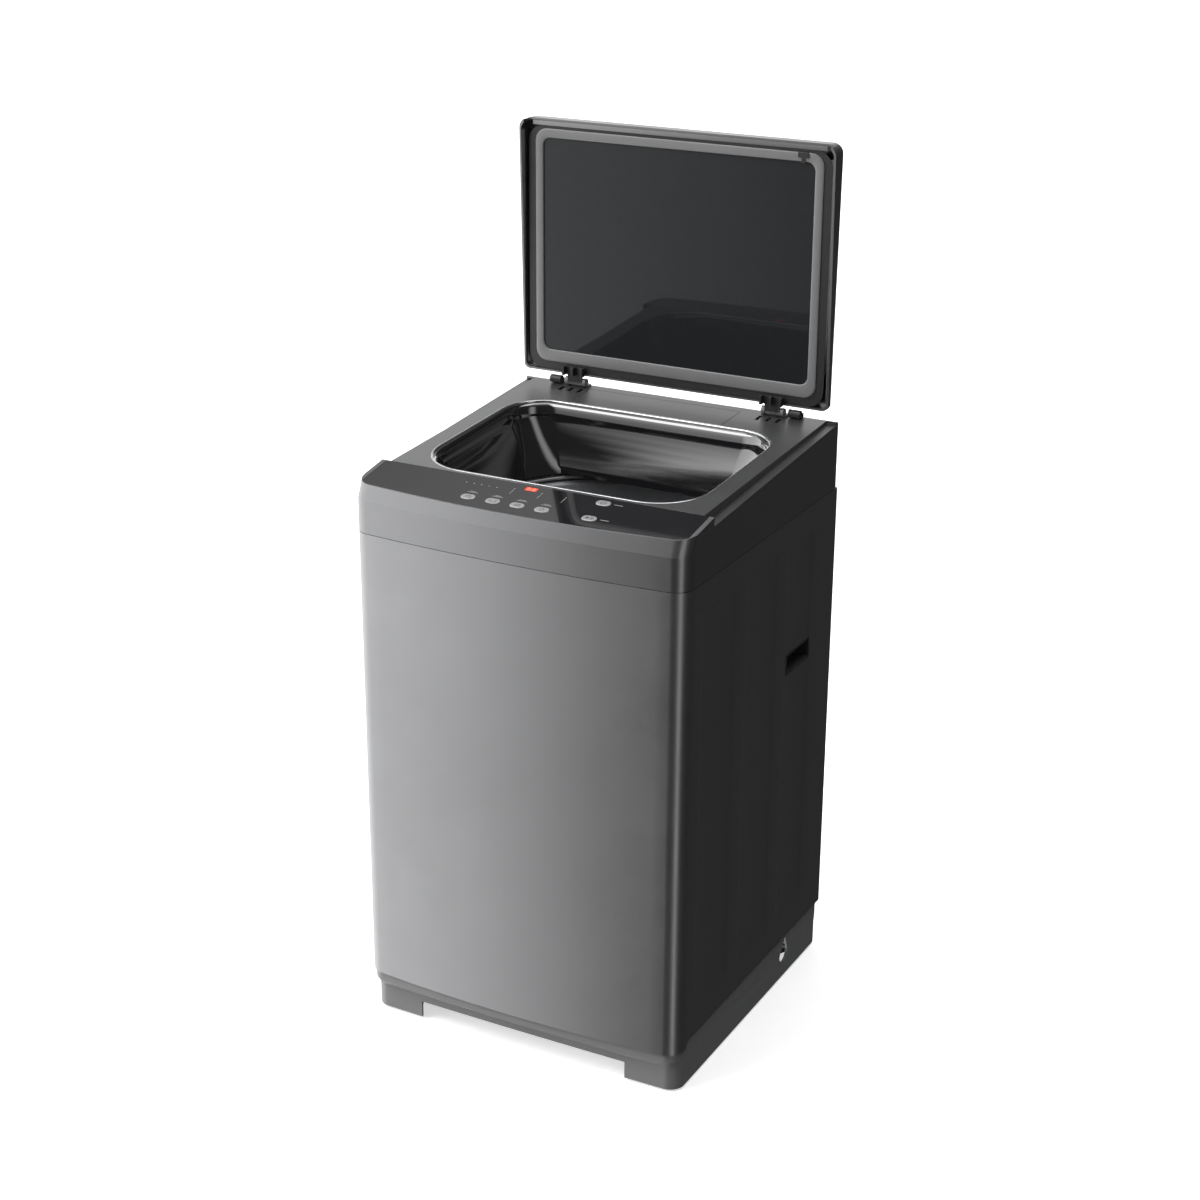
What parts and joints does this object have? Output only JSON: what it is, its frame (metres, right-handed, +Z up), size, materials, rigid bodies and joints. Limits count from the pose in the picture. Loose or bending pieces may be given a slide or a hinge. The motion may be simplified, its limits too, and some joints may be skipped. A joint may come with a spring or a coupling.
{
  "type": "top load washing machine",
  "caption": "Free-standing top loading washing machine with a hinged glass lid, sloping key panel, suspended tub, spinning basket and pulsator.",
  "frame": {"origin": "floor level under the middle of the body", "axes": "+X to the machine's right seen from its front, +Y towards its back, +Z up"},
  "size_m": [0.56, 0.562, 1.376],
  "materials": {
    "body_paint": "metallic dark grey paint, satin",
    "cover_plastic": "metallic dark grey, glossy",
    "base_plastic": "moulded, fine texture",
    "trim_plastic": "satin grey",
    "tinted_glass": "dark tinted, polished",
    "panel_glass": "black, mirror gloss",
    "well_black": "black, high gloss",
    "display_red": "lit red window",
    "circuit_board": "solder mask",
    "key_silver": "silver, satin",
    "black_plastic": "moulded black",
    "rubber_black": "matt rubber",
    "rear_plastic": "moulded grey",
    "zinc_steel": "zinc plated",
    "white_plastic": "moulded",
    "drum_steel": "stainless",
    "ring_plastic": "moulded grey",
    "cast_alloy": "cast",
    "motor_paint": "plain"
  },
  "bodies": {
    "cabinet": {"cabinet_shell": "body_paint", "rear_panel": "rear_plastic", "rear_panel_screws": "zinc_steel", "base_frame": "base_plastic", "fixed_feet": "rubber_black", "top_cover": "cover_plastic", "control_panel_glass": "panel_glass", "display_window": "display_red", "control_board": "circuit_board", "opening_liner": "well_black", "inlet_cover": "cover_plastic", "inlet_box": "white_plastic", "inlet_valve": "white_plastic", "lid_switch": "black_plastic", "pressure_sensor": "black_plastic", "hand_grip_left": "black_plastic", "hand_grip_right": "black_plastic", "suspension_brackets": "zinc_steel", "suspension_rods": "zinc_steel", "suspension_springs": "zinc_steel", "drain_outlet": "black_plastic", "drain_hose": "rubber_black", "cord_gland": "black_plastic", "run_capacitor": "motor_paint", "hinge_base_left": "trim_plastic", "hinge_base_right": "trim_plastic", "hinge_pins": "zinc_steel", "lid_dampers": "black_plastic"},
    "lid": {"lid_shell": "cover_plastic", "lid_frame": "trim_plastic", "lid_glass": "tinted_glass", "lid_hinge_left": "trim_plastic", "lid_hinge_right": "trim_plastic", "lid_clip": "black_plastic"},
    "tub": {"tub_wall": "white_plastic", "tub_floor": "white_plastic", "tub_ring": "ring_plastic", "mounting_plate": "zinc_steel", "clutch_housing": "cast_alloy", "motor_housing": "motor_paint", "drain_valve": "white_plastic", "spin_seal": "rubber_black", "drive_belt": "rubber_black"},
    "basket": {"basket_hub": "cast_alloy", "basket_base": "ring_plastic", "basket_drum": "drum_steel", "balance_ring": "ring_plastic", "lint_filters": "white_plastic"},
    "agitator": {"pulsator": "ring_plastic", "wash_shaft": "zinc_steel"},
    "pulley": {"drive_pulley": "cast_alloy"},
    "rotor": {"motor_rotor": "cast_alloy"},
    "foot": {"levelling_foot": "rubber_black"},
    "power_key": {"power_button": "key_silver"},
    "start_key": {"start_button": "key_silver"},
    "programme_key": {"programme_button": "key_silver"},
    "level_key": {"level_button": "key_silver"},
    "wash_key": {"wash_button": "key_silver"},
    "delay_key": {"delay_button": "key_silver"}
  },
  "joints": [
    {"name": "lid_hinge", "type": "hinge", "parent": "cabinet", "child": "lid", "pos_m": [0, 0.25, 0.948], "axis": [1, 0, 0], "range_deg": [0, 92.9]},
    {"name": "tub_suspension", "type": "slide", "parent": "cabinet", "child": "tub", "axis": [0, 0, 1], "range_m": [-0.012, 0.002], "stiffness_N_per_m": 12000, "springref_m": 0.02522, "deforming": ["suspension_springs", "drain_hose"]},
    {"name": "basket_spin", "type": "hinge", "parent": "tub", "child": "basket", "pos_m": [0, 0, 0.3], "axis": [0, 0, 1], "continuous": true},
    {"name": "pulley_spin", "type": "hinge", "parent": "tub", "child": "pulley", "pos_m": [0, 0, 0.116], "axis": [0, 0, 1], "continuous": true},
    {"name": "rotor_spin", "type": "hinge", "parent": "tub", "child": "rotor", "pos_m": [0, 0.15, 0.116], "axis": [0, 0, 1], "continuous": true},
    {"name": "agitator_spin", "type": "hinge", "parent": "tub", "child": "agitator", "pos_m": [0, 0, 0.29], "axis": [0, 0, 1], "continuous": true},
    {"name": "foot_levelling", "type": "slide", "parent": "cabinet", "child": "foot", "axis": [0, 0, 1], "range_m": [-0.01, 0]},
    {"name": "power_press", "type": "slide", "parent": "cabinet", "child": "power_key", "axis": [0, 0.175, -0.9846], "range_m": [0, 0.0012], "stiffness_N_per_m": 800, "springref_m": -0.001},
    {"name": "start_press", "type": "slide", "parent": "cabinet", "child": "start_key", "axis": [0, 0.175, -0.9846], "range_m": [0, 0.0012], "stiffness_N_per_m": 800, "springref_m": -0.001},
    {"name": "programme_press", "type": "slide", "parent": "cabinet", "child": "programme_key", "axis": [0, 0.175, -0.9846], "range_m": [0, 0.0012], "stiffness_N_per_m": 800, "springref_m": -0.001},
    {"name": "level_press", "type": "slide", "parent": "cabinet", "child": "level_key", "axis": [0, 0.175, -0.9846], "range_m": [0, 0.0012], "stiffness_N_per_m": 800, "springref_m": -0.001},
    {"name": "wash_press", "type": "slide", "parent": "cabinet", "child": "wash_key", "axis": [0, 0.175, -0.9846], "range_m": [0, 0.0012], "stiffness_N_per_m": 800, "springref_m": -0.001},
    {"name": "delay_press", "type": "slide", "parent": "cabinet", "child": "delay_key", "axis": [0, 0.175, -0.9846], "range_m": [0, 0.0012], "stiffness_N_per_m": 800, "springref_m": -0.001}
  ],
  "couplings": [
    {"joint": "rotor_spin", "follows": "pulley_spin", "ratio": 2.8468},
    {"joint": "agitator_spin", "follows": "pulley_spin", "ratio": 0.2}
  ]
}
